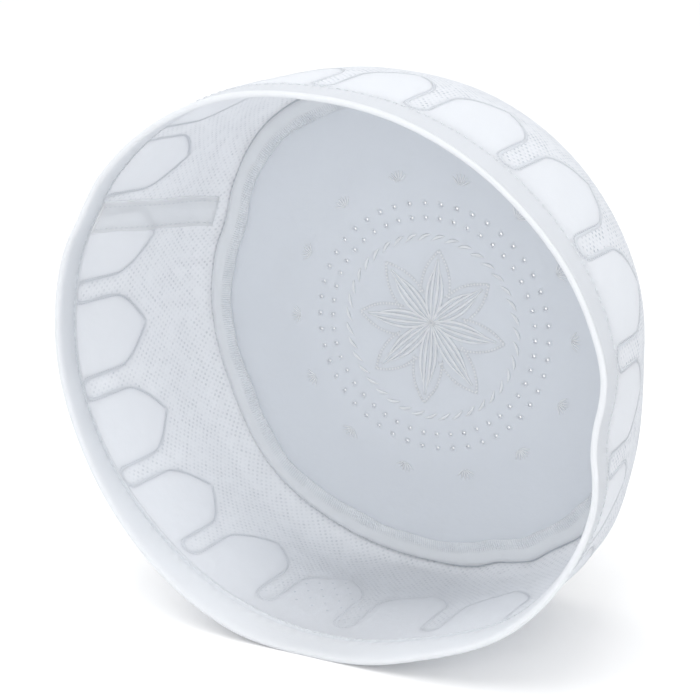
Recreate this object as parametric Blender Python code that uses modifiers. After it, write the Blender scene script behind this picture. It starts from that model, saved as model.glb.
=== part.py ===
"""A soft white kufi lying on its side: crown panel, band, turned hem, seam allowance and lap seam.

Metres, +Z up. The cap's axis runs along Y, with its open end towards -Y. Angles round the axis start at +X
and grow towards +Z. Along the wall, 0 is the rim and 1 the seam with the crown. On the crown, 0 is its
middle and 1 its sewn edge.
"""
import math

import bmesh
import bpy
from mathutils import Matrix, Vector

# Driving dimensions
HEAD_ROUND = 0.590
CROWN_ROUND = 0.540
WALL_HEIGHT = 0.078
CLOTH = 0.0012
HEM_CLOTH = 0.0010
LAP_CLOTH = 0.0010
ALLOWANCE_PLIES = 0.0016
HEM_WIDTH = 0.0110
ALLOWANCE_WIDTH = 0.0077
LAP_WIDTH = 0.0120
LAP_ANGLE = 156.0
CLEARANCE = 0.0003
REST_PRESS = 0.0020
RIM_SHIFT_X = -0.0038
RIM_SHIFT_Z = -0.0005
CROWN_PUFF = 0.0016
EYELET_COUNT = 46
EYELET_BORE = 0.0013
EYELET_SIDES = 6
EYELET_RING_OUTER = 0.0430
EYELET_RING_STEP = 0.0049
CUTTER_LENGTH = 0.012

# Facets round the axis, up the wall and out over the crown
SEGMENTS = 80
WALL_ROWS = (0.30, 0.46, 0.61, 0.74, 0.84, 0.93, 1.0)
CROWN_RINGS = (0.26, 0.42, 0.56, 0.70, 0.82)

HEAD_RADIUS = HEAD_ROUND / math.tau
CROWN_RADIUS = CROWN_ROUND / math.tau
MIDDLE_RADIUS = (HEAD_RADIUS + CROWN_RADIUS) / 2

# The cap's slumped outline, one row for each section round the axis. rim and cuff are shares of the head's
# radius, waist of the middle radius, shoulder and seam of the crown's radius. lift is how far the seam has come
# forward, towards the rim, as a share of the wall's height.
SECTIONS = (
    # angle   rim    cuff   waist  shoulder  seam   lift
    (0.0,     1.017, 1.010, 1.018, 0.976,    0.902, 0.154),
    (22.5,    1.017, 1.025, 1.068, 1.006,    0.919, 0.154),
    (45.0,    0.982, 1.000, 1.060, 1.018,    0.931, 0.115),
    (67.5,    0.961, 0.975, 1.033, 1.018,    0.960, 0.051),
    (90.0,    0.960, 0.972, 1.028, 1.032,    0.995, 0.013),
    (112.5,   0.997, 1.010, 1.050, 1.084,    1.036, 0.000),
    (135.0,   1.025, 1.032, 1.060, 1.100,    1.076, 0.000),
    (157.5,   1.038, 1.047, 1.055, 1.076,    1.030, 0.000),
    (180.0,   1.027, 1.042, 1.049, 1.068,    1.029, 0.000),
    (202.5,   1.002, 1.012, 1.027, 1.057,    1.012, 0.000),
    (225.0,   0.994, 0.978, 1.010, 1.065,    1.030, 0.000),
    (247.5,   0.997, 0.955, 0.982, 1.062,    1.007, 0.000),
    (270.0,   0.989, 0.946, 0.962, 1.058,    1.001, 0.000),
    (292.5,   0.978, 0.948, 0.984, 1.062,    1.032, 0.000),
    (315.0,   1.027, 1.010, 1.055, 1.084,    1.036, 0.000),
    (337.5,   1.038, 1.018, 1.018, 1.006,    0.955, 0.077),
)
SECTION_COLUMNS = ("angle", "rim", "cuff", "waist", "shoulder", "seam", "lift")
WALL_STATIONS = (0.0, 0.16, 0.5, 0.85, 1.0)

# Gathers, tucks and dents, one row each. depth is inwards, as a share of the crown's radius, and near is
# the place of the deepest point between rim and seam.
FOLDS = (
    # angle  breadth  depth   near  reach
    (357.0,  7.0,     0.030,  0.0,  0.35),
    (10.0,   7.0,     -0.012, 0.0,  0.30),
    (160.0,  4.0,     0.014,  1.0,  0.16),
    (152.0,  5.0,     0.012,  0.0,  0.14),
    (289.0,  5.0,     0.024,  1.0,  0.28),
    (304.0,  5.5,     0.024,  1.0,  0.30),
    (314.0,  4.5,     0.018,  1.0,  0.26),
)


def between_sections(column, angle):
    """Reads one column of SECTIONS at any angle, on a smooth closed curve through its rows."""
    rows = len(SECTIONS)
    place = (angle % 360.0) / 360.0 * rows
    first = int(place) % rows
    t = place - int(place)
    index = SECTION_COLUMNS.index(column)
    a, b, c, d = (SECTIONS[(first + step) % rows][index] for step in (-1, 0, 1, 2))
    return b + 0.5 * t * (c - a + t * (2 * a - 5 * b + 4 * c - d + t * (3 * (b - c) + d - a)))


def along_stations(values, along):
    """Reads a smooth curve through values that stand at WALL_STATIONS."""
    last = len(WALL_STATIONS) - 1
    k = max(i for i in range(last) if along >= WALL_STATIONS[i] or i == 0)

    def slope(i):
        low = max(i - 1, 0)
        high = min(i + 1, last)
        return (values[high] - values[low]) / (WALL_STATIONS[high] - WALL_STATIONS[low])

    span = WALL_STATIONS[k + 1] - WALL_STATIONS[k]
    t = (along - WALL_STATIONS[k]) / span
    start = (1 + 2 * t) * (1 - t) ** 2 * values[k] + t * (1 - t) ** 2 * span * slope(k)
    end = t * t * (3 - 2 * t) * values[k + 1] + t * t * (t - 1) * span * slope(k + 1)
    return start + end


def fold_depth(angle, along):
    """How far the folds draw the wall inwards there."""
    total = 0.0
    for fold_angle, breadth, depth, near, reach in FOLDS:
        turn = (angle - fold_angle + 180.0) % 360.0 - 180.0
        total += depth * math.exp(-(turn / breadth) ** 2 - ((along - near) / reach) ** 2)
    return total * CROWN_RADIUS


def wall_radius(angle, along):
    """The wall's outer radius."""
    stations = (
        between_sections("rim", angle) * HEAD_RADIUS,
        between_sections("cuff", angle) * HEAD_RADIUS,
        between_sections("waist", angle) * MIDDLE_RADIUS,
        between_sections("shoulder", angle) * CROWN_RADIUS,
        between_sections("seam", angle) * CROWN_RADIUS,
    )
    return along_stations(stations, along) - fold_depth(angle, along)


def wall_point_free(angle, along):
    """A point of the wall's outer side before it is pressed flat underneath."""
    radius = wall_radius(angle, along)
    turn = math.radians(angle)
    depth = WALL_HEIGHT + CLOTH - between_sections("lift", angle) * WALL_HEIGHT
    return Vector((
        RIM_SHIFT_X * (1 - along) + radius * math.cos(turn),
        along * depth - WALL_HEIGHT,
        RIM_SHIFT_Z * (1 - along) + radius * math.sin(turn),
    ))


# The cap rests on its rim and on its shoulder, which are pressed flat against one plane
RIM_REST = wall_point_free(270.0, 0.0)
SHOULDER_REST = wall_point_free(270.0, 0.88)
REST_SLOPE = (SHOULDER_REST.z - RIM_REST.z) / (SHOULDER_REST.y - RIM_REST.y)


def wall_point(angle, along):
    """A point of the wall's outer side."""
    point = wall_point_free(angle, along)
    floor = RIM_REST.z + REST_PRESS + (point.y - RIM_REST.y) * REST_SLOPE
    point.z = max(point.z, floor)
    return point


CROWN_EDGE_GAP = CLOTH * 0.75 + CLEARANCE


def crown_point(angle, out):
    """A point of the crown's outer side."""
    turn = math.radians(angle)
    radius = (wall_radius(angle, 1.0) - CROWN_EDGE_GAP) * out
    fall = max(0.0, (out - 0.5) / 0.5) ** 2
    puff = CROWN_PUFF * math.sin(math.pi * max(0.0, (out - 0.5) / 0.5)) ** 2
    height = CLOTH + puff - between_sections("lift", angle) * WALL_HEIGHT * fall
    return Vector((radius * math.cos(turn), height, radius * math.sin(turn)))


def inset_point(surface, angle, place, inset):
    """A point inset from one of the two surfaces, square to it, towards the cap's hollow."""
    turn_step = 1.0
    place_step = 0.01
    low = max(place - place_step, 0.0)
    high = min(place + place_step, 1.0)
    around = surface(angle + turn_step, place) - surface(angle - turn_step, place)
    across = surface(angle, high) - surface(angle, low)
    normal = across.cross(around).normalized()
    if surface is wall_point:
        normal.negate()
    return surface(angle, place) + normal * inset


def white_cotton(name, colour, roughness):
    """A plain cotton finish."""
    material = bpy.data.materials.new(name)
    material.use_nodes = True
    shader = material.node_tree.nodes["Principled BSDF"]
    shader.inputs["Base Color"].default_value = (*colour, 1.0)
    shader.inputs["Roughness"].default_value = roughness
    shader.inputs["Metallic"].default_value = 0.0
    return material


def cloth_piece(name, rows, thickness, material, closed=True, middle=None):
    """An open sheet through rows of points, made into cloth of a given thickness by Solidify.

    The sheet's outer side is the one that its points lie on, and the thickness goes into the hollow.
    """
    sheet = bmesh.new()
    grid = [[sheet.verts.new(point) for point in row] for row in rows]
    count = len(grid[0])
    turns = count if closed else count - 1
    for lower, upper in zip(grid, grid[1:]):
        for i in range(turns):
            j = (i + 1) % count
            sheet.faces.new((lower[i], upper[i], upper[j], lower[j]))
    if middle is not None:
        hub = sheet.verts.new(middle)
        for i in range(count):
            sheet.faces.new((grid[-1][i], hub, grid[-1][(i + 1) % count]))
    mesh = bpy.data.meshes.new(name)
    sheet.to_mesh(mesh)
    sheet.free()
    mesh.shade_smooth()
    mesh.materials.append(material)
    piece = bpy.data.objects.new(name, mesh)
    cap_collection.objects.link(piece)
    piece.parent = seat
    thicken = piece.modifiers.new("cloth", "SOLIDIFY")
    thicken.thickness = thickness
    thicken.offset = -1.0
    thicken.use_even_offset = True
    thicken.use_quality_normals = True
    return piece


def ring_angles():
    return [360.0 * i / SEGMENTS for i in range(SEGMENTS)]


def wall_sheet(places, inset, angles):
    return [[inset_point(wall_point, angle, place, inset) for angle in angles] for place in places]


def crown_sheet(places, inset, angles):
    return [[inset_point(crown_point, angle, place, inset) for angle in angles] for place in places]


for old in list(bpy.data.objects):
    bpy.data.objects.remove(old, do_unlink=True)

cap_collection = bpy.data.collections.new("kufi")
bpy.context.scene.collection.children.link(cap_collection)
cutter_collection = bpy.data.collections.new("cutters")
bpy.context.scene.collection.children.link(cutter_collection)

seat = bpy.data.objects.new("cap_seat", None)
cap_collection.objects.link(seat)

cotton = white_cotton("white_cotton", (0.86, 0.88, 0.90), 0.85)
hem_cotton = white_cotton("hem_cotton", (0.88, 0.90, 0.92), 0.85)
crown_cotton = white_cotton("crown_cotton", (0.82, 0.85, 0.88), 0.85)
seam_cotton = white_cotton("seam_cotton", (0.78, 0.82, 0.84), 0.9)

# Band: one strip of cloth joined into a ring, from the rim to the crown
hem_top = HEM_WIDTH / WALL_HEIGHT
hem_rows = (0.0, hem_top / 2, hem_top)
band = cloth_piece("band", wall_sheet(hem_rows + WALL_ROWS, 0.0, ring_angles()), CLOTH, cotton)

# Rim hem: the band's edge turned up inside
hem_inset = CLOTH + CLEARANCE
rim_hem = cloth_piece("rim_hem", wall_sheet(hem_rows, hem_inset, ring_angles()), HEM_CLOTH, hem_cotton)

# Band lap: the second ply of the seam that closes the ring, from the hem to the seam allowance
lap_turn = math.degrees(LAP_WIDTH / HEAD_RADIUS)
lap_angles = [LAP_ANGLE + lap_turn * share for share in (-0.5, 0.0, 0.5)]
lap_rows = (hem_top + 0.02,) + WALL_ROWS[:5]
band_lap = cloth_piece("band_lap", wall_sheet(lap_rows, hem_inset, lap_angles), LAP_CLOTH, seam_cotton, closed=False)

# Crown: the round top panel, sewn to the band's upper edge
allowance_start = 1.0 - ALLOWANCE_WIDTH / CROWN_RADIUS
allowance_rings = (1.0, (1.0 + allowance_start) / 2, allowance_start)
crown_rings = allowance_rings + tuple(reversed(CROWN_RINGS))
crown_rows = crown_sheet(crown_rings, 0.0, ring_angles())
crown = cloth_piece("crown", crown_rows, CLOTH, crown_cotton, middle=crown_point(0.0, 0.0))

# Seam allowance: the raw edges of band and crown, overlocked together and laid over the crown's inside
allowance_rows = crown_sheet(allowance_rings, CLOTH + CLEARANCE, ring_angles())
seam_allowance = cloth_piece("seam_allowance", allowance_rows, ALLOWANCE_PLIES, seam_cotton)

# Eyelets: two rings of holes pierced through the crown
pins = bmesh.new()
for ring_radius in (EYELET_RING_OUTER, EYELET_RING_OUTER - EYELET_RING_STEP):
    for i in range(EYELET_COUNT):
        turn = math.tau * i / EYELET_COUNT
        made = bmesh.ops.create_cone(
            pins, cap_ends=True, segments=EYELET_SIDES,
            radius1=EYELET_BORE / 2, radius2=EYELET_BORE / 2, depth=CUTTER_LENGTH,
        )
        for vert in made["verts"]:
            x, y, z = vert.co
            vert.co = (ring_radius * math.cos(turn) + x, -z, ring_radius * math.sin(turn) + y)
pin_mesh = bpy.data.meshes.new("eyelet_pins")
bmesh.ops.recalc_face_normals(pins, faces=pins.faces)
pins.to_mesh(pin_mesh)
pins.free()
eyelet_pins = bpy.data.objects.new("eyelet_pins", pin_mesh)
cutter_collection.objects.link(eyelet_pins)
eyelet_pins.parent = seat
eyelet_pins.hide_render = True
eyelet_pins.display_type = "WIRE"
pierce = crown.modifiers.new("eyelets", "BOOLEAN")
pierce.operation = "DIFFERENCE"
pierce.solver = "EXACT"
pierce.object = eyelet_pins

# The seat turns the resting plane level, and puts the origin under the middle of the cap's box
lean = Matrix.Rotation(-math.atan(REST_SLOPE), 4, "X")
skin = [wall_point(angle, place) for angle in ring_angles() for place in hem_rows + WALL_ROWS]
skin += [point for row in crown_rows for point in row]
turned = [lean @ point for point in skin]
low = [min(point[axis] for point in turned) for axis in range(3)]
high = [max(point[axis] for point in turned) for axis in range(3)]
seat.rotation_euler = lean.to_euler()
seat.location = (-(low[0] + high[0]) / 2, -(low[1] + high[1]) / 2, -low[2])
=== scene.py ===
"""A white embroidered cotton kufi lying on its side: cloth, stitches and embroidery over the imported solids.

Metres. The cap's own frame has its axis along Y, the crown's inner middle at zero and the open end at -Y.
Turns are degrees round the axis, from +X to +Z. Up the wall, a share is 0 at the rim and 1 at the crown.
"""
import math

import bmesh
import bpy
import numpy as np
from mathutils import Matrix, Vector
from mathutils.bvhtree import BVHTree


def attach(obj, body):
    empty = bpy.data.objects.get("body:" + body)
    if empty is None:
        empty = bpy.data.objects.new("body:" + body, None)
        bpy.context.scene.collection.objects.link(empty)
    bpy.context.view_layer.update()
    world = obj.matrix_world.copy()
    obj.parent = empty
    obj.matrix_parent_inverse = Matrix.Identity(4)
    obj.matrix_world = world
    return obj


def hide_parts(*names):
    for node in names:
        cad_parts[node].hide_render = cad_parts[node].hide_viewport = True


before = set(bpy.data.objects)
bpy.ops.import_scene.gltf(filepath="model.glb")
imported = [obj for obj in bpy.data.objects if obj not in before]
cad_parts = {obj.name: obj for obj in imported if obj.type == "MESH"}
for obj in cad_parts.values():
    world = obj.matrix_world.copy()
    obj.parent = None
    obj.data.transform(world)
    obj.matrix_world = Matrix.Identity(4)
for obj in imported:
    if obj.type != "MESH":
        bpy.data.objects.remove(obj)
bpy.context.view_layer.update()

# Band: one layer of white cotton, embroidered before it was sewn into a ring and joined to the crown. Its
# lower edge is turned up inside. Its shape is read from the band's solid, and made smooth between facets.
CAP_MIDDLE = Vector((0.0047, 0.0382, 0.0882))
CAP_LEAN = math.radians(-2.26)
cap_to_row = Matrix.Translation(CAP_MIDDLE) @ Matrix.Rotation(CAP_LEAN, 4, "X")
row_to_cap = cap_to_row.inverted()
WALL_HEIGHT = 0.078
BAND_WIDTH = 0.0792
RIM_SHIFT = np.array((-0.0038, 0.0, -0.0005))
FACETS = 80
FACET_SHARES = (0.0, 0.0705, 0.141, 0.30, 0.46, 0.61, 0.74, 0.84, 0.93, 1.0)
FACET_SLACK = 0.05
RAY_ASIDE = 0.0004
RAY_REACH = 0.14
EDGE_MARGIN = 0.00015
FINE_STEPS = 18
FINE_SHARES = 200
BAND_COLUMNS = 480
BAND_ROWS = 62
OUTER_INSET = 0.0001
BAND_CLOTH = 0.00095
INNER_SIDE = 1.0
RIM_TRIM = 0.0007
BAND_COLOUR = (0.875, 0.888, 0.910)
# The colour that marks lean towards: painted shade for holes, creases and thread edges, and the cloth's own
# uneven tone.
SHADE_AND_TONE_COLOUR = (0.46, 0.50, 0.55)
COTTON_SHEEN = 0.15
COTTON_SHINE = 0.3
GRAIN_SCALE = 900.0
REST_TURNS = (228.0, 246.0, 292.0, 312.0)
REST_BLUR = 32
SHARE_BLUR = 16
REST_BLUR_FADE = ((0.0, 1.0), (0.80, 1.0), (0.97, 0.0))
SHARE_BLUR_FADE = ((0.06, 0.0), (0.18, 1.0), (0.84, 1.0), (0.97, 0.0))
MIDDLE_ROW = 60
PANELS = 18
PANEL_PITCH = 360.0 / PANELS
FIRST_COLUMN = 9.8
COLUMN_DRIFT = (
    # turn   drift
    (11.0, 1.4), (31.6, 1.8), (51.7, 1.9), (72.6, 2.6), (120.0, 2.0), (170.8, 1.0),
    (190.9, 1.1), (220.0, 0.8), (250.0, 0.4), (268.3, 0.0), (289.5, 1.1), (320.0, 1.2),
)
PATTERN_RISE = (
    # turn   rise
    (0.0, 0.0), (205.0, 0.0), (225.0, 0.0025), (245.0, 0.0062),
    (290.0, 0.0062), (315.0, 0.0020), (335.0, 0.0),
)
COLUMN_HALF = 2.05
COLUMN_FOOT = 0.0118
COLUMN_ROUND = 0.0035
PANEL_SHOULDER = 0.028
PANEL_CREST = 0.046
PANEL_SPAN = 0.0314
PANEL_SHADE = 0.20
PANEL_SHADE_LESS_INSIDE = 0.17
NET_HOLES = 13
NET_SPOT = (0.76, 0.93)
NET_SHADE = 0.75
NET_SHADE_LESS_INSIDE = 0.42
NET_CREST = (0.0006, 0.0014)
NET_FOOT = (0.0140, 0.0146)
NET_SIDE = (COLUMN_HALF - 0.5, COLUMN_HALF - 0.2)
DIAMOND_PANEL = (12.0, 13.0)
DIAMOND_HOLES = 5
DIAMOND_STEP = 0.0074
DIAMOND_SPOT = (0.968, 0.990)
DIAMOND_SHADE = 0.60
DIAMOND_CREST = (-0.0036, -0.0030)
DIAMOND_SIDE = (2.9, 3.3)
DIAMOND_FOOT = (0.0150, 0.0156)
WEAVE_PITCH = 0.00049
WEAVE_THREADS = 64
SLACK_SHADE = 0.05


class Wire:
    """A value in a material's node tree that can stand in a sum."""

    def __init__(self, tree, socket=None):
        self.tree = tree
        self.socket = socket

    def node(self, kind, settings, sockets, output=0):
        """Adds a node: its settings first, then the values or links of its sockets."""
        made = self.tree.nodes.new(kind)
        for key, value in settings.items():
            setattr(made, key, value)
        for key, value in sockets.items():
            if isinstance(value, Wire):
                self.tree.links.new(made.inputs[key], value.socket)
            else:
                made.inputs[key].default_value = value
        return Wire(self.tree, made.outputs[output])

    def maths(self, operation, first, second=0.0):
        return self.node("ShaderNodeMath", {"operation": operation}, {0: first, 1: second})

    def __add__(self, other):
        return self.maths("ADD", self, other)

    __radd__ = __add__

    def __sub__(self, other):
        return self.maths("SUBTRACT", self, other)

    def __rsub__(self, other):
        return self.maths("SUBTRACT", other, self)

    def __mul__(self, other):
        return self.maths("MULTIPLY", self, other)

    __rmul__ = __mul__

    def __pow__(self, other):
        return self.maths("POWER", self, other)

    def sine(self):
        return self.maths("SINE", self)

    def size(self):
        return self.maths("ABSOLUTE", self)

    def over(self, low, high):
        """0 below low, 1 above high, and a smooth rise between them."""
        places = {0: self, 1: low, 2: high, 3: 0.0, 4: 1.0}
        return self.node("ShaderNodeMapRange", {"interpolation_type": "SMOOTHSTEP"}, places)


def cotton(name, colour, pattern, roughness, see_through, bump_depth, spot_colour=SHADE_AND_TONE_COLOUR):
    """A white cotton finish. pattern(start, along, across) gives how far each place goes towards the spot
    colour, and its height as a share of the bump depth."""
    material = bpy.data.materials.new(name)
    material.use_nodes = True
    tree = material.node_tree
    tree.nodes.clear()
    start = Wire(tree)
    place = start.node("ShaderNodeUVMap", {"uv_map": "cloth"}, {})
    apart = start.node("ShaderNodeSeparateXYZ", {}, {0: place})
    along = Wire(tree, apart.socket.node.outputs[0])
    across = Wire(tree, apart.socket.node.outputs[1])
    darkness, height = pattern(start, along, across)
    tint = start.node(
        "ShaderNodeMix", {"data_type": "RGBA"},
        {0: darkness, 6: (*colour, 1.0), 7: (*spot_colour, 1.0)}, output=2,
    )
    normal = start.node("ShaderNodeBump", {}, {"Strength": 1.0, "Distance": bump_depth, "Height": height})
    cloth = start.node("ShaderNodeBsdfPrincipled", {}, {
        "Base Color": tint, "Roughness": roughness, "Normal": normal,
        "Sheen Weight": COTTON_SHEEN, "Specular IOR Level": COTTON_SHINE,
    })
    glow = start.node("ShaderNodeBsdfTranslucent", {}, {"Color": (*colour, 1.0)})
    both = start.node("ShaderNodeMixShader", {}, {0: (1 - darkness) * see_through, 1: cloth, 2: glow})
    out = tree.nodes.new("ShaderNodeOutputMaterial")
    tree.links.new(out.inputs["Surface"], both.socket)
    return material


def lattice(along, across, along_count, across_pitch):
    """Round spots on a diamond grid: 1 in a spot's middle and 0 between spots."""
    a = (along * (math.pi * along_count)).sine().size()
    b = (across * (math.pi / across_pitch)).sine().size()
    c = (along * (math.pi * along_count) + math.pi / 2).sine().size()
    d = (across * (math.pi / across_pitch) + math.pi / 2).sine().size()
    return (a * b).maths("MAXIMUM", a * b, c * d)


def crumple(start, scale, detail):
    """Soft unevenness of the cloth, from -0.5 to 0.5."""
    place = start.node("ShaderNodeTexCoord", {}, {}, output=3)
    noise = start.node(
        "ShaderNodeTexNoise", {}, {"Vector": place, "Scale": scale, "Detail": detail, "Roughness": 0.55}
    )
    return noise - 0.5


def band_pattern(start, along, across):
    inside = across.over(INNER_SIDE * 0.4, INNER_SIDE * 0.6)
    across = across - inside * INNER_SIDE
    column = (along - along.maths("ROUND", along)).size() * PANEL_PITCH
    past_column = (column - COLUMN_HALF).maths("MAXIMUM", column - COLUMN_HALF, 0.0)
    rise = past_column * (1 / (PANEL_PITCH / 2 - COLUMN_HALF))
    crest = rise ** 0.5 * (PANEL_CREST - PANEL_SHOULDER) + PANEL_SHOULDER
    above = (across - crest).over(*NET_CREST)
    in_column = (1 - column.over(*NET_SIDE)) * across.over(*NET_FOOT)
    net = above.maths("MAXIMUM", above, in_column)
    in_panel = (1 - (across - crest).over(*DIAMOND_CREST)) * column.over(*DIAMOND_SIDE)
    in_panel = in_panel * across.over(*DIAMOND_FOOT)
    pierced = along.over(DIAMOND_PANEL[0], DIAMOND_PANEL[0] + 0.01)
    pierced = pierced * (1 - along.over(DIAMOND_PANEL[1] - 0.01, DIAMOND_PANEL[1]))
    in_panel = in_panel * pierced
    patchy = (crumple(start, scale=300.0, detail=2.0) * 3.0 + 0.9).over(0.0, 1.6) * 1.5
    shaken = crumple(start, scale=500.0, detail=1.0) * 0.012
    net_spots = lattice(along + shaken, across + shaken * 0.03, NET_HOLES, PANEL_SPAN / NET_HOLES)
    net_spots = net_spots.over(*NET_SPOT) * net * patchy
    diamonds = lattice(along, across, DIAMOND_HOLES, DIAMOND_STEP).over(*DIAMOND_SPOT) * in_panel
    weave = (along * (math.tau * WEAVE_THREADS)).sine() * (across * (math.tau / WEAVE_PITCH)).sine()
    slack = crumple(start, scale=70.0, detail=3.0)
    grain = crumple(start, scale=GRAIN_SCALE, detail=2.0)
    # The net's and the diamonds' holes are painted dark: painted shade of the cap's inside, seen through
    # them. Inside the cap the net is painted less dark: painted light coming through from outside.
    shade = net_spots * (NET_SHADE - inside * NET_SHADE_LESS_INSIDE)
    shade = shade + (1 - net) * (PANEL_SHADE - inside * PANEL_SHADE_LESS_INSIDE)
    darkness = shade + diamonds * DIAMOND_SHADE + (slack + 0.5) * SLACK_SHADE
    height = slack * 1.5 + grain * 0.10 + weave * 0.02 - net_spots * 0.20 - diamonds * 0.15
    return darkness, height


def solid_in_cap(node):
    """A solid's points, in the cap's frame, and a tree that rays can be cast at."""
    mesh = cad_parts[node].data
    points = [row_to_cap @ vertex.co for vertex in mesh.vertices]
    return points, BVHTree.FromPolygons(points, [face.vertices[:] for face in mesh.polygons])


def facet_of(point):
    """The facet line that a point stands on, or None between two lines."""
    turn = math.degrees(math.atan2(point.z, point.x)) % 360.0
    line = turn * FACETS / 360.0
    return round(line) % FACETS if abs(line - round(line)) < FACET_SLACK else None


def smooth_round(table, steps):
    """Adds points round the axis, on a closed smooth curve through the table's own."""
    a, b, c, d = (np.roll(table, -shift, axis=0)[:, None] for shift in (-1, 0, 1, 2))
    t = (np.arange(steps) / steps).reshape(1, steps, *[1] * (table.ndim - 1))
    fine = b + 0.5 * t * (c - a + t * (2 * a - 5 * b + 4 * c - d + t * (3 * (b - c) + d - a)))
    return fine.reshape(-1, *table.shape[1:])


def smooth_across(table, stations, wanted):
    """Reads smooth curves through the table's columns, which stand at the stations."""
    stations = np.array(stations)
    last = len(stations) - 1
    below = np.maximum(np.arange(last + 1) - 1, 0)
    above = np.minimum(np.arange(last + 1) + 1, last)
    slopes = (table[:, above] - table[:, below]) / (stations[above] - stations[below])[None, :, None]
    k = np.clip(np.searchsorted(stations, wanted, side="right") - 1, 0, last - 1)
    span = (stations[k + 1] - stations[k])[None, :, None]
    t = ((wanted - stations[k])[None, :, None]) / span
    start = (1 + 2 * t) * (1 - t) ** 2 * table[:, k] + t * (1 - t) ** 2 * span * slopes[:, k]
    return start + t * t * (3 - 2 * t) * table[:, k + 1] + t * t * (t - 1) * span * slopes[:, k + 1]


def square_to(grid):
    """The directions square to a grid, on either side of it."""
    around = np.roll(grid, -1, axis=0) - np.roll(grid, 1, axis=0)
    across = np.gradient(grid, axis=1)
    normal = np.cross(around, across)
    return normal / np.maximum(np.linalg.norm(normal, axis=2, keepdims=True), 1e-12)


def read_grid(grid, turns, shares):
    """Reads a fine grid between its points."""
    turns = np.asarray(turns, float) % 360.0 * grid.shape[0] / 360.0
    shares = np.clip(np.asarray(shares, float), 0.0, 1.0) * (grid.shape[1] - 1)
    i = np.floor(turns).astype(int)
    j = np.minimum(np.floor(shares).astype(int), grid.shape[1] - 2)
    s = (turns - i)[..., None]
    t = (shares - j)[..., None]
    i = i % grid.shape[0]
    n = (i + 1) % grid.shape[0]
    low = grid[i, j] * (1 - s) + grid[n, j] * s
    high = grid[i, j + 1] * (1 - s) + grid[n, j + 1] * s
    return low * (1 - t) + high * t


band_points, band_tree = solid_in_cap("band")
seam_height = [-1.0] * FACETS
for point in band_points:
    line = facet_of(point)
    if line is not None:
        seam_height[line] = max(seam_height[line], point.y)
wall_table = np.zeros((FACETS, len(FACET_SHARES), 3))
for line in range(FACETS):
    turn = math.tau * line / FACETS + RAY_ASIDE
    outward = Vector((math.cos(turn), 0.0, math.sin(turn)))
    for row, share in enumerate(FACET_SHARES):
        height = -WALL_HEIGHT + share * (seam_height[line] + WALL_HEIGHT)
        safe = min(max(height, -WALL_HEIGHT + EDGE_MARGIN), seam_height[line] - EDGE_MARGIN)
        shift = Vector(RIM_SHIFT * (1 - share))
        far_out = shift + outward * RAY_REACH + Vector((0.0, safe, 0.0))
        hit = band_tree.ray_cast(far_out, -outward)[0]
        wall_table[line, row] = (hit.x, height, hit.z)
fine_shares = np.linspace(0.0, 1.0, FINE_SHARES)
wall_grid = smooth_across(smooth_round(wall_table, FINE_STEPS), FACET_SHARES, fine_shares)
grid_turns = np.arange(len(wall_grid)) * 360.0 / len(wall_grid)


def soften(grid, blurred, fade):
    """Goes over to the blurred grid where the cap rests. fade gives how far, for shares up the wall."""
    weight = np.interp(grid_turns, REST_TURNS, (0.0, 1.0, 1.0, 0.0))[:, None, None]
    weight = weight * np.interp(fine_shares, *zip(*fade))[None, :, None]
    return grid * (1 - weight) + blurred * weight


turn_shifts = range(-REST_BLUR, REST_BLUR + 1)
blurred = sum(np.roll(wall_grid, shift, axis=0) for shift in turn_shifts) / len(turn_shifts)
wall_grid = soften(wall_grid, blurred, REST_BLUR_FADE)
padded = np.pad(wall_grid, ((0, 0), (SHARE_BLUR, SHARE_BLUR), (0, 0)), mode="edge")
share_shifts = range(2 * SHARE_BLUR + 1)
blurred = sum(padded[:, shift:shift + FINE_SHARES] for shift in share_shifts) / len(share_shifts)
wall_grid = soften(wall_grid, blurred, SHARE_BLUR_FADE)
wall_normals = square_to(wall_grid)
if wall_normals[0, MIDDLE_ROW, 0] < 0:
    wall_normals = -wall_normals


def wall(turns, shares, inset):
    """Points of the band, inset from its outer side, and the directions square to it."""
    normals = read_grid(wall_normals, turns, shares)
    return read_grid(wall_grid, turns, shares) - normals * np.asarray(inset)[..., None], normals


def read_round(table, turns):
    """Reads a short table of turns and values at any turn."""
    return np.interp(turns, [row[0] for row in table], [row[1] for row in table], period=360.0)


def panel_place(turns):
    """Where turns stand in the run of panels: a whole number at the middle of a column of net."""
    turns = np.asarray(turns, float)
    return (turns - FIRST_COLUMN - read_round(COLUMN_DRIFT, turns)) / PANEL_PITCH


def finish_piece(name, points, faces, uvs, material, slot_name, replaced=()):
    """Makes a piece from points in the cap's frame, gives it its body, and hides the solids that it replaces.
    """
    mesh = bpy.data.meshes.new(name)
    rows = [cap_to_row @ Vector(point) for point in points]
    mesh.from_pydata(rows, [], faces)
    layer = mesh.uv_layers.new(name="cloth")
    flat = np.array([uv for face in uvs for uv in face], np.float32).ravel()
    layer.data.foreach_set("uv", flat)
    mesh.shade_smooth()
    mesh.materials.append(material)
    made = bmesh.new()
    made.from_mesh(mesh)
    bmesh.ops.delete(made, geom=[vert for vert in made.verts if not vert.link_faces], context="VERTS")
    bmesh.ops.recalc_face_normals(made, faces=made.faces)
    made.to_mesh(mesh)
    made.free()
    piece = bpy.data.objects.new(name, mesh)
    bpy.context.scene.collection.objects.link(piece)
    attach(piece, "root")
    if replaced:
        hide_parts(*replaced)
    return piece


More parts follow.
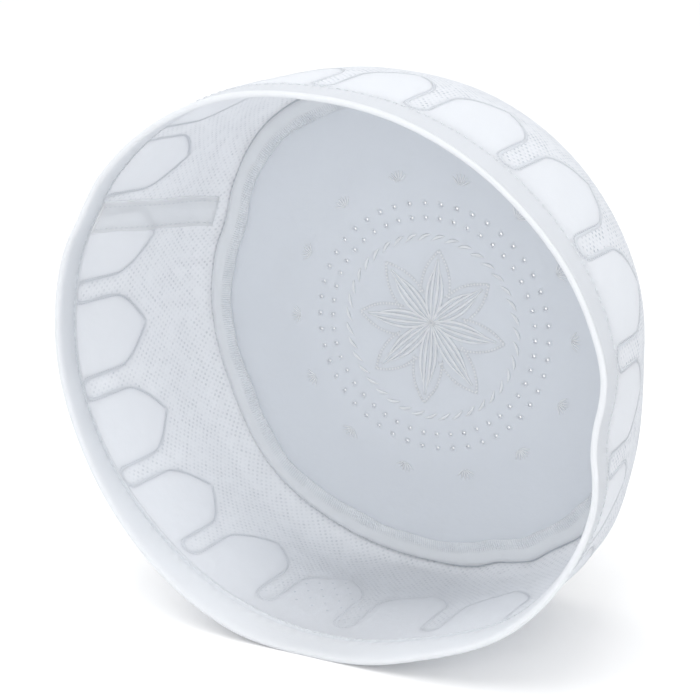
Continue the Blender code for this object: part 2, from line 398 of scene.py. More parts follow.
def ring_of_cloth(loops, u_values, v_values, v_falls=None):
    """Faces and UVs for a closed profile carried round the axis. loops is points[profile][column]."""
    count = len(loops[0])
    falls = np.zeros(count + 1) if v_falls is None else v_falls
    points = [point for loop in loops for point in loop]
    faces = []
    uvs = []
    for row in range(len(loops)):
        other = (row + 1) % len(loops)
        for column in range(count):
            after = (column + 1) % count
            here = row * count
            beyond = other * count
            faces.append((here + column, here + after, beyond + after, beyond + column))
            low = v_values[row]
            high = v_values[other]
            left = falls[column]
            right = falls[column + 1]
            uvs.append((
                (u_values[column], low - left), (u_values[column + 1], low - right),
                (u_values[column + 1], high - right), (u_values[column], high - left),
            ))
    return points, faces, uvs


band_turns = np.arange(BAND_COLUMNS) * 360.0 / BAND_COLUMNS
band_u = panel_place(np.append(band_turns, 360.0))
outer_shares = np.linspace(RIM_TRIM / BAND_WIDTH, 1.0, BAND_ROWS)
profile = [(share, OUTER_INSET, 0.0) for share in outer_shares]
profile += [(share, BAND_CLOTH, INNER_SIDE) for share in outer_shares[::-1]]
band_loops = []
for share, inset, side in profile:
    shares = np.full(BAND_COLUMNS, share)
    band_loops.append(wall(band_turns, shares, np.full(BAND_COLUMNS, inset))[0])
band_v = [share * BAND_WIDTH + side for share, inset, side in profile]
band_cotton = cotton(
    "band_cotton", BAND_COLOUR, band_pattern, roughness=0.85, see_through=0.60, bump_depth=0.0006,
)
band_falls = read_round(PATTERN_RISE, np.append(band_turns, 360.0))
band_parts = ring_of_cloth(band_loops, band_u, band_v, band_falls)
finish_piece("band_cloth", *band_parts, band_cotton, "band_cotton", ("band",))

# Rim hem: the band's lower edge, turned up inside for 11 mm. It rolls softly over the rim and is held by one
# line of running stitches.
HEM_COLOUR = (0.885, 0.90, 0.92)
HEM_PROFILE = (
    # height   inset
    (0.00080, 0.00002),
    (0.00030, 0.00005),
    (-0.00005, 0.00040),
    (-0.00020, 0.00100),
    (-0.00005, 0.00160),
    (0.00050, 0.00205),
    (0.00200, 0.00225),
    (0.00500, 0.00235),
    (0.00780, 0.00232),
    (0.00920, 0.00205),
    (0.00980, 0.00195),
    (0.01040, 0.00210),
    (0.01110, 0.00205),
    (0.01145, 0.00175),
    (0.01120, 0.00125),
    (0.00600, 0.00118),
    (0.00090, 0.00115),
    (0.00045, 0.00080),
)
HEM_COLUMNS = 480
HEM_EDGE = 0.008
HEM_WANDER = 0.00025
HEM_WAVES = 7
PUCKERS = 118
PUCKER_REACH = (0.0006, 0.0030)
CREASE_LINE = 0.0097
STITCH_SHADOW_REACH = (0.0003, 0.0009)
STITCH_SHADOW_DARKNESS = 0.35


def hem_pattern(start, along, across):
    pucker = (along * (math.tau * PUCKERS / PANELS)).sine()
    near = 1 - (across - CREASE_LINE).size().over(*PUCKER_REACH)
    # Painted shadow: a narrow dark line along the stitches, where the puckered cloth creases.
    stitch_shadow = 1 - (across - CREASE_LINE).size().over(*STITCH_SHADOW_REACH)
    slack = crumple(start, scale=90.0, detail=3.0)
    grain = crumple(start, scale=GRAIN_SCALE, detail=2.0)
    darkness = (slack + 0.5) * SLACK_SHADE + stitch_shadow * STITCH_SHADOW_DARKNESS
    return darkness, slack * 0.7 + grain * 0.10 + pucker * near * 0.28


hem_turns = np.arange(HEM_COLUMNS) * 360.0 / HEM_COLUMNS
hem_u = panel_place(np.append(hem_turns, 360.0))
hem_loops = []
for height, inset in HEM_PROFILE:
    uneven = HEM_WANDER * np.sin(np.radians(hem_turns * HEM_WAVES)) * (height > HEM_EDGE)
    shares = (max(height, 0.0) + uneven) / BAND_WIDTH
    points, normals = wall(hem_turns, shares, np.full(HEM_COLUMNS, inset))
    points[:, 1] += min(height, 0.0)
    hem_loops.append(points)
hem_v = [height for height, inset in HEM_PROFILE]
hem_cotton = cotton(
    "hem_cotton", HEM_COLOUR, hem_pattern, roughness=0.85, see_through=0.46, bump_depth=0.0006,
)
hem_parts = ring_of_cloth(hem_loops, hem_u, hem_v)
finish_piece("hem_fold", *hem_parts, hem_cotton, "hem_cotton", ("rim_hem",))

# Hem stitches: a line of white running stitches through band and hem, 9.6 mm above the rim. It shows on both
# sides, sunk a little into the cloth.
STITCH_LINE = 0.0096
STITCH_RISE = 0.15
STITCH_COUNT = 210
STITCH_SHARE = 0.66
STITCH_THREAD = 0.00055
STITCH_RAISE = 0.00044
THREAD_SINK = 0.00002
STITCH_INSIDE = 0.00200
THREAD_COLOUR = (0.90, 0.915, 0.935)
THREAD_PROFILE = ((-0.5, 0.0), (-0.34, 0.42), (0.0, 0.60), (0.34, 0.42), (0.5, 0.0), (0.0, -0.35))
LEAF_FULLNESS = 0.7
RIB_PITCH = 0.00062
RIB_SLANT = 2.2
HOLE_PITCH = 0.00115
HOLE_EDGE = (-0.1, 0.5)
HOLE_REACH = (0.28, 0.42)
HOLE_SHADE_AND_LIGHT = 0.60
THREAD_EDGE = (0.26, 0.50)
THREAD_EDGE_SHADE = 0.75


class Threads:
    """Raised threads that are gathered into one piece."""

    def __init__(self):
        self.points = []
        self.faces = []
        self.uvs = []

    def parts(self):
        """What finish_piece needs: the points, faces and UVs."""
        return self.points, self.faces, self.uvs

    def lay(self, path, normals, width, height, closed=False, taper=0.25, leaf=False):
        """Lays a thread along a path of points. It is widest in its middle where leaf is set."""
        path = np.asarray(path, float)
        count = len(path)
        if closed:
            ahead = np.roll(path, -1, axis=0) - np.roll(path, 1, axis=0)
        else:
            ahead = np.gradient(path, axis=0)
        side = np.cross(ahead, normals)
        side /= np.maximum(np.linalg.norm(side, axis=1, keepdims=True), 1e-12)
        run = np.concatenate(([0.0], np.cumsum(np.linalg.norm(np.diff(path, axis=0), axis=1))))
        share = np.linspace(0.0, 1.0, count)
        if closed:
            fat = np.ones(count)
        elif leaf:
            fat = np.maximum(np.sin(np.pi * share) ** LEAF_FULLNESS, taper)
        else:
            fat = np.where((share == 0) | (share == 1), taper, 1.0)
        base = len(self.points)
        ring = len(THREAD_PROFILE)
        for i in range(count):
            for x, y in THREAD_PROFILE:
                offset = side[i] * width * x * fat[i] + normals[i] * height * y * fat[i]
                self.points.append(path[i] + offset)
        spans = count if closed else count - 1
        for i in range(spans):
            n = (i + 1) % count
            far = run[n] if n else run[i] + np.linalg.norm(path[n] - path[i])
            here = base + i * ring
            next_on = base + n * ring
            for j in range(ring):
                k = (j + 1) % ring
                self.faces.append((here + j, next_on + j, next_on + k, here + k))
                low, high = (abs(THREAD_PROFILE[m][0]) for m in (j, k))
                self.uvs.append(((run[i], low), (far, low), (far, high), (run[i], high)))
        if not closed:
            for i, order in ((0, 1), (count - 1, -1)):
                self.faces.append(tuple(base + i * ring + j for j in range(ring))[::order])
                self.uvs.append(tuple((run[i], 0.0) for j in range(ring)))


def thread_ribs(along, across):
    """The slanting ridges that the thread's own twist leaves on satin stitch."""
    return (along * (math.tau / RIB_PITCH) + across * RIB_SLANT).sine()


def thread_pattern(start, along, across):
    ribs = thread_ribs(along, across)
    return ribs * 0.05 + 0.03, ribs * 0.15 + crumple(start, scale=GRAIN_SCALE, detail=1.0) * 0.1


# Satin thread with painted shade along each thread's sides, where neighbouring threads meet, made patchy by
# noise.
def edge_shade_pattern(start, along, across):
    ribs = thread_ribs(along, across)
    edge = across.over(*THREAD_EDGE) * (crumple(start, scale=420.0, detail=1.0) * 2.0 + 0.8)
    return edge * THREAD_EDGE_SHADE + 0.02, ribs * 0.12 + crumple(start, scale=GRAIN_SCALE, detail=1.0) * 0.1


# Needle holes as spots along a thread. On the band they are painted shade, the dark of the cap seen through
# them; on the star they are painted light, painted white.
def hole_pattern(start, along, across):
    spots = (along * (math.tau / HOLE_PITCH)).sine().over(*HOLE_EDGE) * (1 - across.over(*HOLE_REACH))
    return spots * HOLE_SHADE_AND_LIGHT, spots * -0.4 + crumple(start, scale=GRAIN_SCALE, detail=1.0) * 0.1


satin = cotton(
    "satin_thread", THREAD_COLOUR, thread_pattern, roughness=0.55, see_through=0.72, bump_depth=0.00025,
)
edged_thread = cotton(
    "edged_thread", THREAD_COLOUR, edge_shade_pattern, roughness=0.55, see_through=0.35, bump_depth=0.00025,
)
needle_holes = cotton(
    "needle_holes", BAND_COLOUR, hole_pattern, roughness=0.85, see_through=0.80, bump_depth=0.0003,
)
hem_threads = Threads()
for i in range(STITCH_COUNT):
    middle = 360.0 * i / STITCH_COUNT
    half = 180.0 / STITCH_COUNT * STITCH_SHARE
    turns = middle + np.array((-1.0, -0.5, 0.5, 1.0)) * half
    shares = (STITCH_LINE + read_round(PATTERN_RISE, turns) * STITCH_RISE) / BAND_WIDTH
    path, normals = wall(turns, shares, np.full(4, THREAD_SINK))
    hem_threads.lay(path, normals, STITCH_THREAD, STITCH_RAISE)
    path, normals = wall(turns + half, shares, np.full(4, STITCH_INSIDE))
    hem_threads.lay(path, -normals, STITCH_THREAD, STITCH_RAISE)
finish_piece("hem_stitches", *hem_threads.parts(), satin, "hem_cotton")

# Panel outlines: satin stitch round eighteen arched panels of the band. A row of needle holes follows each
# one, and the machine's stitches show on both sides of the cloth, finer on the inside.
OUTLINE_WIDTH = 0.0011
OUTLINE_RAISE = 0.00038
OUTLINE_INSET = 0.00012
INSIDE_FULLNESS = 0.40
HOLE_ROW_WIDTH = 0.0007
HOLE_ROW_RAISE = 0.00012
HOLE_ROW_STEP = -0.0009
DEGREE_RUN = 0.00157
FOOT_STEPS = 5
SIDE_STEPS = 6
CREST_STEPS = 14


def outline_height(reach, grow):
    """The outline's height above the rim, reach degrees from the middle of a column."""
    rise = max(reach - COLUMN_HALF, 0.0) / (PANEL_PITCH / 2 - COLUMN_HALF)
    return PANEL_SHOULDER + (PANEL_CREST - PANEL_SHOULDER) * rise ** 0.5 + grow


def outline_path(grow):
    """One column's side of the outline, from its foot to the crest of the panel beside it."""
    half = COLUMN_HALF - grow / DEGREE_RUN * 0.8
    foot = COLUMN_FOOT + grow
    path = []
    for i in range(FOOT_STEPS + 1):
        turn = i / FOOT_STEPS * math.pi / 2
        path.append((half * math.sin(turn), foot + COLUMN_ROUND * (1 - math.cos(turn))))
    for i in range(1, SIDE_STEPS + 1):
        climb = (PANEL_SHOULDER - COLUMN_FOOT - COLUMN_ROUND) * i / SIDE_STEPS
        path.append((half, foot + COLUMN_ROUND + climb))
    for i in range(1, CREST_STEPS + 1):
        reach = (i / CREST_STEPS) ** 2 * (PANEL_PITCH / 2 - half) + half
        path.append((reach, outline_height(max(reach, COLUMN_HALF), grow)))
    return path


def embroider(batch, hole_batch, inset, sign, fullness):
    """Lays the outlines and their needle holes on one side of the band."""
    for column in range(PANELS):
        middle = FIRST_COLUMN + PANEL_PITCH * column
        for grow, width, raised, target in (
            (0.0, OUTLINE_WIDTH * fullness, OUTLINE_RAISE * fullness, batch),
            (HOLE_ROW_STEP, HOLE_ROW_WIDTH * fullness, HOLE_ROW_RAISE, hole_batch),
        ):
            half = outline_path(grow)
            path = [(-reach, height) for reach, height in half[:0:-1]] + half
            turns = middle + np.array([reach for reach, height in path])
            turns = turns + read_round(COLUMN_DRIFT, turns)
            heights = np.array([height for reach, height in path]) + read_round(PATTERN_RISE, turns)
            points, normals = wall(turns, heights / BAND_WIDTH, np.full(len(path), inset))
            target.lay(points, normals * sign, width, raised)


outlines = Threads()
outline_holes = Threads()
embroider(outlines, outline_holes, OUTLINE_INSET, 1.0, 1.0)
embroider(outlines, outline_holes, BAND_CLOTH - THREAD_SINK, -1.0, INSIDE_FULLNESS)
finish_piece("panel_outlines", *outlines.parts(), satin, "band_cotton")
finish_piece("panel_holes", *outline_holes.parts(), needle_holes, "band_cotton")

# Band lap: the seam that closes the band into a ring, pressed to one side inside the cap. The second ply is
# stitched down along both of its edges, from the hem to the crown.
# Painted light: lighter than the band's cotton, though it is the same cloth, against the shade of the fold.
LAP_LIT_COLOUR = (0.98, 0.985, 0.99)
LAP_FOOT = 154.0
LAP_HEAD = 158.0
LAP_HALF = 3.6
LAP_START = 0.0122
LAP_END = 0.0735
LAP_ROWS = 40
LAP_INNER = 0.00205
LAP_OUTER = 0.00112
LAP_BEND = 0.0017
LAP_CROSS = (
    # place   inset
    (-1.0, LAP_OUTER),
    (-1.0, LAP_BEND),
    (-0.93, LAP_INNER),
    (0.0, LAP_INNER),
    (0.93, LAP_INNER),
    (1.0, LAP_BEND),
    (1.0, LAP_OUTER),
    (0.0, LAP_OUTER),
)
LAP_WANDER = 0.12
LAP_WAVES = 17.0
LAP_EDGE = (0.34, 0.48)
LAP_STITCHES = 24
LAP_STITCH_PLACES = (-0.72, 0.72)
LAP_STITCH_WIDTH = 0.0004
LAP_STITCH_RAISE = 0.0003


def lap_pattern(start, along, across):
    slack = crumple(start, scale=110.0, detail=3.0)
    grain = crumple(start, scale=1000.0, detail=2.0)
    # Painted shade: the lap is a little darker along its folded edges.
    edge = (along - 0.5).size().over(*LAP_EDGE)
    return slack * 0.06 + edge * 0.04 + 0.01, slack * 0.8 + grain * 0.15


def lap_middle(share):
    """The turn of the lap's middle, a share of the way from its foot to its head."""
    return LAP_FOOT + (LAP_HEAD - LAP_FOOT) * share


lap_points = []
lap_faces = []
lap_uvs = []
for row in range(LAP_ROWS + 1):
    share = row / LAP_ROWS
    height = LAP_START + (LAP_END - LAP_START) * share
    for place, inset in LAP_CROSS:
        wander = LAP_WANDER * math.sin(share * LAP_WAVES + place)
        turn = lap_middle(share) + place * LAP_HALF + wander
        spot = wall(np.array([turn]), np.array([height / BAND_WIDTH]), np.array([inset]))[0]
        lap_points.append(spot[0])
ring = len(LAP_CROSS)
for row in range(LAP_ROWS):
    low = row / LAP_ROWS
    high = (row + 1) / LAP_ROWS
    here = row * ring
    beyond = here + ring
    for j in range(ring):
        k = (j + 1) % ring
        lap_faces.append((here + j, here + k, beyond + k, beyond + j))
        across = [(LAP_CROSS[m][0] + 1) / 2 for m in (j, k)]
        lap_uvs.append(((across[0], low), (across[1], low), (across[1], high), (across[0], high)))
for row in (0, LAP_ROWS):
    lap_faces.append(tuple(row * ring + j for j in range(ring)))
    lap_uvs.append(tuple((0.5, 0.5) for j in range(ring)))
lap_cotton = cotton(
    "lap_cotton", LAP_LIT_COLOUR, lap_pattern, roughness=0.9, see_through=0.80, bump_depth=0.0006,
)
finish_piece("lap_strip", lap_points, lap_faces, lap_uvs, lap_cotton, "seam_cotton", ("band_lap",))

lap_threads = Threads()
for i in range(LAP_STITCHES):
    for place in LAP_STITCH_PLACES:
        shares = (i + np.array((0.15, 0.4, 0.6, 0.85))) / LAP_STITCHES
        heights = LAP_START + (LAP_END - LAP_START) * shares
        turns = lap_middle(shares) + place * LAP_HALF
        path, normals = wall(turns, heights / BAND_WIDTH, np.full(4, LAP_INNER - 2 * THREAD_SINK))
        lap_threads.lay(path, -normals, LAP_STITCH_WIDTH, LAP_STITCH_RAISE)
finish_piece("lap_stitches", *lap_threads.parts(), satin, "seam_cotton")

# Crown: the round top panel, one layer of the same cotton, sewn to the band's upper edge. Two rings of
# eyelets are pierced through it.
# Painted shade: darker than the band's colour, though the crown is the same white cotton.
CROWN_SHADED_COLOUR = (0.745, 0.770, 0.805)
CROWN_SHARES = (0.0, 0.26, 0.42, 0.56, 0.70, 0.82, 0.955, 1.0)
CROWN_CLOTH = 0.00095
EYELETS = 46
EYELET_RINGS = (0.0381, 0.04305)
EYELET_HOLE = 0.00050
CROWN_TRIM = 0.9995
CROWN_TUCK = 1.0055
COLUMNS_PER_EYELET = 8
EVEN_REACH = 0.050
CROWN_RADII = (
    0.0015, 0.0035, 0.006, 0.009, 0.012, 0.015, 0.018, 0.021, 0.024, 0.027, 0.030, 0.033, 0.0355, 0.0367,
    0.03745, 0.0381, 0.03875, 0.0396, 0.0406, 0.0415, 0.0424, 0.04305, 0.0437, 0.0446, 0.046, 0.048, 0.050,
)
CROWN_OUTER_ROWS = 15
CROWN_CLEAR = 0.05
CROWN_NEAR = 0.003
INNERMOST = 0.01
OUTERMOST = 0.996
MIDDLE_ROWS = 8
CROWN_WEAVE = 0.00062
CROWN_SHADE = 0.10


def crown_pattern(start, along, across):
    weave = (along * (math.tau / CROWN_WEAVE)).sine() * (across * (math.tau / CROWN_WEAVE)).sine()
    slack = crumple(start, scale=60.0, detail=4.0)
    grain = crumple(start, scale=GRAIN_SCALE, detail=2.0)
    darkness = (slack + 0.5) * CROWN_SHADE + grain * 0.05
    return darkness, slack * 1.8 + grain * 0.14 + weave * 0.03


crown_points, crown_tree = solid_in_cap("crown")
crown_edge = [0.0] * FACETS
for point in crown_points:
    line = facet_of(point)
    if line is not None:
        crown_edge[line] = max(crown_edge[line], math.hypot(point.x, point.z))
crown_table = np.zeros((FACETS, len(CROWN_SHARES), 3))
for line in range(FACETS):
    turn = math.tau * line / FACETS
    for row, share in enumerate(CROWN_SHARES):
        reach = crown_edge[line] * share
        near = crown_edge[line] * min(max(share, INNERMOST), OUTERMOST)
        aside = turn + RAY_ASIDE
        above_crown = Vector((near * math.cos(aside), CROWN_CLEAR, near * math.sin(aside)))
        hit = crown_tree.ray_cast(above_crown, Vector((0.0, -1.0, 0.0)))[0]
        if hit is None:
            hit = crown_tree.find_nearest(Vector((above_crown.x, CROWN_NEAR, above_crown.z)))[0]
        crown_table[line, row] = (reach * math.cos(turn), hit.y, reach * math.sin(turn))
edge_grid = smooth_round(np.array(crown_edge), FINE_STEPS)
crown_grid = smooth_across(smooth_round(crown_table, FINE_STEPS), CROWN_SHARES, fine_shares)
crown_normals = square_to(crown_grid)
crown_normals[crown_normals[..., 1] < 0] *= -1
crown_normals[:, :MIDDLE_ROWS] = (0.0, 1.0, 0.0)


def edge_reach(turns):
    """How far the crown reaches from its middle."""
    two_wide = np.repeat(edge_grid[:, None, None], 2, axis=1)
    return read_grid(two_wide, turns, np.zeros(np.shape(turns)))[..., 0]


def crown(x, z, inset):
    """Points of the crown, inset from its outer side, and the directions out of the cap."""
    turns = np.degrees(np.arctan2(z, x))
    shares = np.hypot(x, z) / edge_reach(turns)
    normals = read_grid(crown_normals, turns, shares)
    return read_grid(crown_grid, turns, shares) - normals * np.asarray(inset)[..., None], normals


crown_columns = EYELETS * COLUMNS_PER_EYELET
crown_turns = np.arange(crown_columns) * 360.0 / crown_columns
crown_reach = edge_reach(crown_turns)
crown_radii = [np.full(crown_columns, radius) for radius in CROWN_RADII]
for i in range(1, CROWN_OUTER_ROWS + 1):
    crown_radii.append(EVEN_REACH + (crown_reach * CROWN_TRIM - EVEN_REACH) * i / CROWN_OUTER_ROWS)
crown_radii = np.array(crown_radii)
crown_x = crown_radii * np.cos(np.radians(crown_turns))
crown_z = crown_radii * np.sin(np.radians(crown_turns))
holes = []
left_out = set()
for ring_radius in EYELET_RINGS:
    row = CROWN_RADII.index(ring_radius)
    for i in range(EYELETS):
        column = i * COLUMNS_PER_EYELET
        before = (column - 1) % crown_columns
        after = (column + 1) % crown_columns
        loop = [
            (row - 1, before), (row - 1, column), (row - 1, after), (row, after),
            (row + 1, after), (row + 1, column), (row + 1, before), (row, before),
        ]
        middle = (crown_x[row, column], crown_z[row, column])
        for spot in loop:
            away = np.array((crown_x[spot] - middle[0], crown_z[spot] - middle[1]))
            away *= EYELET_HOLE / np.linalg.norm(away)
            crown_x[spot] = middle[0] + away[0]
            crown_z[spot] = middle[1] + away[1]
        holes.append(loop)
        left_out.update(((row - 1, before), (row - 1, column), (row, before), (row, column)))
crown_all = []
crown_middles = []
for inset in (OUTER_INSET, CROWN_CLOTH):
    sheet = crown(crown_x, crown_z, np.full(crown_x.shape, inset))[0]
    sheet[-1, :, 0] *= CROWN_TUCK
    sheet[-1, :, 2] *= CROWN_TUCK
    crown_all.extend(sheet.reshape(-1, 3))
    crown_middles.extend(crown(np.array([1e-6]), np.array([0.0]), np.array([inset]))[0])
crown_all += crown_middles
crown_faces = []
crown_uvs = []
row_count = len(crown_radii)
sheet_size = row_count * crown_columns


def crown_uv(row, column):
    return (crown_x[row, column], crown_z[row, column])


for side in (0, 1):
    base = side * sheet_size
    for row in range(row_count - 1):
        for column in range(crown_columns):
            if (row, column) in left_out:
                continue
            after = (column + 1) % crown_columns
            corners = ((row, column), (row, after), (row + 1, after), (row + 1, column))
            crown_faces.append(tuple(base + r * crown_columns + c for r, c in corners))
            crown_uvs.append(tuple(crown_uv(r, c) for r, c in corners))
    for column in range(crown_columns):
        after = (column + 1) % crown_columns
        crown_faces.append((2 * sheet_size + side, base + column, base + after))
        crown_uvs.append(((0.0, 0.0), crown_uv(0, column), crown_uv(0, after)))
edges = [list(loop) for loop in holes]
edges.append([(row_count - 1, column) for column in range(crown_columns)])
for loop in edges:
    for spot, following in zip(loop, loop[1:] + loop[:1]):
        a, b = (r * crown_columns + c for r, c in (spot, following))
        crown_faces.append((a, b, sheet_size + b, sheet_size + a))
        crown_uvs.append((crown_uv(*spot), crown_uv(*following), crown_uv(*following), crown_uv(*spot)))
crown_cotton = cotton(
    "crown_cotton", CROWN_SHADED_COLOUR, crown_pattern, roughness=0.85, see_through=0.55, bump_depth=0.0006,
)
finish_piece("crown_cloth", crown_all, crown_faces, crown_uvs, crown_cotton, "crown_cotton", ("crown",))

# Eyelet rims: fine satin stitch bound round each eyelet of the crown's two rings. Like all of the crown's
# embroidery, it is white thread worked through the cloth, and stands on the side that shows inside the cap.
EYELET_THREAD = 0.00045
EYELET_RAISE = 0.00030
EYELET_SIDES = 12
SEEN_SIDE = CROWN_CLOTH - THREAD_SINK


def crown_thread(batch, spots, width, raised, **words):
    """Lays a thread through spots, on the side of the crown that shows inside the cap."""
    x, z = np.array(spots, float).T
    path, normals = crown(x, z, np.full(len(x), SEEN_SIDE))
    batch.lay(path, -normals, width, raised, **words)


def turned(radius, turn, along, aside):
    """A point in a motif that stands at a radius and turn from the crown's middle."""
    c = math.cos(math.radians(turn))
    s = math.sin(math.radians(turn))
    return (radius + along) * c - aside * s, (radius + along) * s + aside * c


rims = Threads()
round_places = np.arange(EYELET_SIDES) * math.tau / EYELET_SIDES
reach = EYELET_HOLE + EYELET_THREAD * 0.42
for ring_radius in EYELET_RINGS:
    for i in range(EYELETS):
        turn = 360.0 * i / EYELETS
        spots = [turned(ring_radius, turn, reach * math.cos(a), reach * math.sin(a)) for a in round_places]
        crown_thread(rims, spots, EYELET_THREAD, EYELET_RAISE, closed=True)
finish_piece("eyelet_rims", *rims.parts(), satin, "crown_cotton")

# Rope ring: slanting satin stitches laid nose to tail in a ring between the star and the eyelets. Each is
# bowed a little and fullest in its middle.
ROPE_RADIUS = 0.0314
ROPE_STITCHES = 39
ROPE_LENGTH = 0.0052
ROPE_WIDTH = 0.0013
ROPE_RAISE = 0.0008
ROPE_SLANT = -24.0
ROPE_START = 3.0
ROPE_BEND = 0.0005

rope = Threads()
slant = math.radians(ROPE_SLANT)
for i in range(ROPE_STITCHES):
    turn = 360.0 * i / ROPE_STITCHES + ROPE_START
    spots = []
    for step in np.linspace(-0.5, 0.5, 9):
        along = ROPE_LENGTH * step * math.sin(slant) + ROPE_BEND * math.cos(step * math.pi)
        spots.append(turned(ROPE_RADIUS, turn, along, ROPE_LENGTH * step * math.cos(slant)))
    crown_thread(rope, spots, ROPE_WIDTH, ROPE_RAISE, leaf=True, taper=0.15)
finish_piece("rope_ring", *rope.parts(), edged_thread, "crown_cotton")

# Star: eight petals at the crown's middle, each of four raised leaves of satin stitch. A row of needle holes
# follows each petal's edge, with painted light: its spots are painted white. The threads cross a little above
# the petals' middle.
STAR_PETALS = 8
STAR_TURN = -5.3
STAR_TIP = 0.0262
STAR_LIFT = 0.0017
STAR_HEART = 0.0003
PETAL_HALF = 0.0050
VEINS = (-0.66, -0.24, 0.24, 0.66)
VEIN_WIDTH = 0.0012
VEIN_RAISE = 0.00080
VEIN_SPREAD = 0.85
PETAL_FOOT = 0.0105
PETAL_MARGIN = 0.0010
PETAL_GAP = 0.0004
PETAL_ROUND = 1.6
PETAL_HOLE_WIDTH = 0.0010
PETAL_HOLE_RAISE = 0.00015
PAINTED_LIGHT_COLOUR = (1.0, 1.0, 1.0)

star = Threads()
star_holes = Threads()
for petal in range(STAR_PETALS):
    turn = STAR_TURN + 360.0 / STAR_PETALS * petal
    for vein in VEINS:
        spots = []
        tip = STAR_TIP * (1 - 0.30 * abs(vein))
        for step in np.linspace(0.0, 1.0, 15):
            spread = math.sin(math.pi * min(step * 0.92 + 0.02, 1.0)) ** 0.8
            aside = vein * PETAL_HALF * VEIN_SPREAD * spread
            x, z = turned(STAR_HEART, turn, (tip - STAR_HEART) * step, aside)
            spots.append((x, z + STAR_LIFT * (1 - step)))
        crown_thread(star, spots, VEIN_WIDTH, VEIN_RAISE, leaf=True, taper=0.3)
    spots = []
    for step in np.linspace(0.0, 1.0, 37):
        swing = step * 2 - 1
        climb = math.sin((1 - abs(swing)) * math.pi / 2)
        reach = PETAL_FOOT + (STAR_TIP + PETAL_MARGIN - PETAL_FOOT) * climb
        aside = (PETAL_HALF + PETAL_GAP) * math.cos(math.pi / 2 * climb ** PETAL_ROUND)
        spots.append(turned(0.0, turn, reach, math.copysign(aside, swing)))
    crown_thread(star_holes, spots, PETAL_HOLE_WIDTH, PETAL_HOLE_RAISE)
finish_piece("star_petals", *star.parts(), edged_thread, "crown_cotton")
# Painted light: the holes' spots are painted white.
lit_holes = cotton(
    "lit_holes", CROWN_SHADED_COLOUR, hole_pattern, roughness=0.85, see_through=0.40, bump_depth=0.0003,
    spot_colour=PAINTED_LIGHT_COLOUR,
)
finish_piece("star_holes", *star_holes.parts(), lit_holes, "crown_cotton")

# Fan motifs: fourteen small fans of satin stitch, in a ring outside the eyelets. Each has six rays that
# spread towards the crown's edge.
FANS = 14
FAN_RADIUS = 0.0525
FAN_TURN = 2.0
FAN_RAYS = (-52.0, -31.0, -10.0, 10.0, 31.0, 52.0)
FAN_LENGTH = 0.0042
FAN_BACK = 0.002
FAN_WIDTH = 0.0007
FAN_RAISE = 0.0004

fans = Threads()
for i in range(FANS):
    turn = FAN_TURN + 360.0 * i / FANS
    for ray in FAN_RAYS:
        c = math.cos(math.radians(ray))
        s = math.sin(math.radians(ray))
        spots = []
        for step in np.linspace(0.15, 1.0, 6):
            spots.append(turned(FAN_RADIUS, turn, FAN_LENGTH * step * c - FAN_BACK, FAN_LENGTH * step * s))
        crown_thread(fans, spots, FAN_WIDTH, FAN_RAISE, leaf=True, taper=0.3)
finish_piece("fan_motifs", *fans.parts(), edged_thread, "crown_cotton")

# Seam allowance: the raw edges of crown and band, two plies laid over the crown's inside. Their free edge is
# overlocked with close slanting white stitches.
# Painted light: lighter than the crown's and band's cotton, which the allowance is cut from, against the
# shade of the corner it lies in.
SEAM_LIT_COLOUR = (0.96, 0.97, 0.98)
SEAM_COLUMNS = 480
SEAM_WIDTH = 0.0077
SEAM_TRIM = 0.9985
SEAM_PROFILE = (
    # place   inset
    (0.0, 0.00150),
    (0.25, 0.00150),
    (0.5, 0.00150),
    (0.8, 0.00150),
    (1.0, 0.0017),
    (1.03, 0.0022),
    (1.0, 0.0028),
    (0.8, 0.0030),
    (0.5, 0.0030),
    (0.25, 0.0029),
    (0.05, 0.0026),
)
SEAM_LIFT = 0.00018
SEAM_LIFT_WAVES = 31
SEAM_LIFT_FROM = 0.002
SEAM_RIPPLES = 9.0
OVERLOCK_COUNT = 620
OVERLOCK_REACH = 0.0034
OVERLOCK_LEAN = (0.0, 0.12, 0.28, 0.36)
OVERLOCK_INSETS = (0.0022, 0.0029, 0.0031, 0.0030)
OVERLOCK_WIDTH = 0.00042
OVERLOCK_RAISE = 0.0004


def seam_pattern(start, along, across):
    slack = crumple(start, scale=120.0, detail=3.0)
    grain = crumple(start, scale=1000.0, detail=2.0)
    ripple = (along * math.tau * SEAM_RIPPLES).sine()
    return slack * 0.08 + 0.01, slack * 0.8 + grain * 0.15 + ripple * 0.10


def seam_edge(turns):
    """How wide the allowance is there, since it was cut by eye."""
    a = np.radians(turns)
    return SEAM_WIDTH + 0.00030 * np.sin(9 * a + 0.6) + 0.00022 * np.sin(23 * a + 2.0)


def on_seam(turns, places, insets):
    """Points of the allowance, a share of its width in from the crown's edge, and the directions outward."""
    reach = edge_reach(turns) * SEAM_TRIM - seam_edge(turns) * places
    angle = np.radians(turns)
    return crown(reach * np.cos(angle), reach * np.sin(angle), insets)


seam_turns = np.arange(SEAM_COLUMNS) * 360.0 / SEAM_COLUMNS
seam_loops = []
for place, inset in SEAM_PROFILE:
    lift = SEAM_LIFT * np.sin(np.radians(seam_turns * SEAM_LIFT_WAVES)) * place * (inset > SEAM_LIFT_FROM)
    seam_loops.append(on_seam(seam_turns, place, inset + lift)[0])
seam_u = panel_place(np.append(seam_turns, 360.0))
seam_v = [place * SEAM_WIDTH for place, inset in SEAM_PROFILE]
seam_cotton = cotton(
    "seam_cotton", SEAM_LIT_COLOUR, seam_pattern, roughness=0.9, see_through=0.62, bump_depth=0.0006,
)
seam_parts = ring_of_cloth(seam_loops, seam_u, seam_v)
finish_piece("seam_edge", *seam_parts, seam_cotton, "seam_cotton", ("seam_allowance",))

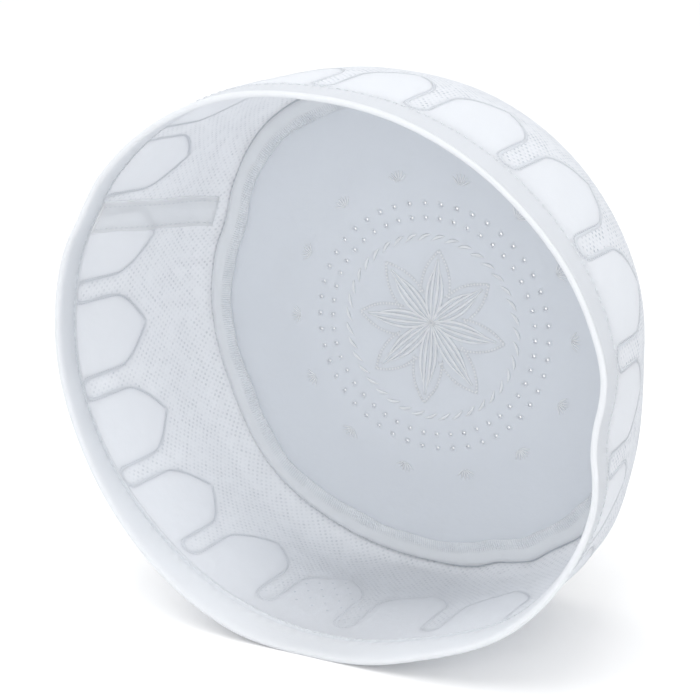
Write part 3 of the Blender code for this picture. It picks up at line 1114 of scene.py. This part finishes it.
overlock = Threads()
overlock_end = 1.0 - OVERLOCK_REACH / SEAM_WIDTH
overlock_places = np.array((1.045, 1.0, (1.0 + overlock_end) / 2, overlock_end))
for i in range(OVERLOCK_COUNT):
    turns = 360.0 * i / OVERLOCK_COUNT + np.array(OVERLOCK_LEAN)
    path, normals = on_seam(turns, overlock_places, np.array(OVERLOCK_INSETS))
    overlock.lay(path, -normals, OVERLOCK_WIDTH, OVERLOCK_RAISE)
finish_piece("overlock_stitches", *overlock.parts(), satin, "seam_cotton")

# Studio: a plain white table under soft light, and a camera where the photograph's stood, in front of the
# open end, a little to the right and above.
VIEW_TURN = 27.56
VIEW_RAISE = 15.98
VIEW_DISTANCE = 0.650
VIEW_ASIDE = -0.02764
VIEW_DOWN = -0.00761
LENS = 97.94
SENSOR = 36.0
NEAR_CLIP = 0.01
FLOOR_SIZE = 6.0
TABLE_WHITE = 0.93

floor_mesh = bpy.data.meshes.new("table_top")
half = FLOOR_SIZE / 2
floor_corners = [(-half, -half, 0), (half, -half, 0), (half, half, 0), (-half, half, 0)]
floor_mesh.from_pydata(floor_corners, [], [(0, 1, 2, 3)])
table_top = bpy.data.objects.new("table_top", floor_mesh)
bpy.context.scene.collection.objects.link(table_top)
table_white = bpy.data.materials.new("table_white")
table_white.use_nodes = True
table_shader = table_white.node_tree.nodes["Principled BSDF"]
table_shader.inputs["Base Color"].default_value = (TABLE_WHITE, TABLE_WHITE, TABLE_WHITE, 1.0)
table_shader.inputs["Roughness"].default_value = 0.9
floor_mesh.materials.append(table_white)

world = bpy.data.worlds.new("soft_room")
bpy.context.scene.world = world
world.use_nodes = True
world.node_tree.nodes["Background"].inputs["Color"].default_value = (1.0, 1.0, 1.0, 1.0)
world.node_tree.nodes["Background"].inputs["Strength"].default_value = 1.0
LIGHTS = (
    # name         place                   watts  size
    ("over_front", (0.05, -0.45, 1.35),    6.5,   0.8),
    ("fill",       (0.30, -0.75, 0.45),    1.4,   0.4),
    ("over_left",  (-0.9, 0.5, 1.1),       2.0,   0.9),
)
for name, place, watts, breadth in LIGHTS:
    lamp = bpy.data.lights.new(name, "AREA")
    lamp.energy = watts
    lamp.size = breadth
    holder = bpy.data.objects.new(name, lamp)
    holder.location = place
    holder.rotation_euler = (CAP_MIDDLE - Vector(place)).to_track_quat("-Z", "Y").to_euler()
    bpy.context.scene.collection.objects.link(holder)

view_turn = math.radians(VIEW_TURN)
view_raise = math.radians(VIEW_RAISE)
back = Vector((
    math.sin(view_turn) * math.cos(view_raise),
    -math.cos(view_turn) * math.cos(view_raise),
    math.sin(view_raise),
))
right = Vector((math.cos(view_turn), math.sin(view_turn), 0.0))
up = back.cross(right)
stand = Matrix((right, up, back)).transposed().to_4x4()
stand.translation = back * VIEW_DISTANCE + right * VIEW_ASIDE + up * VIEW_DOWN
camera_data = bpy.data.cameras.new("camera")
camera_data.lens = LENS
camera_data.sensor_width = SENSOR
camera_data.clip_start = NEAR_CLIP
camera = bpy.data.objects.new("camera", camera_data)
camera.matrix_world = cap_to_row @ stand
bpy.context.scene.collection.objects.link(camera)
bpy.context.scene.camera = camera
bpy.context.scene.view_settings.view_transform = "Standard"
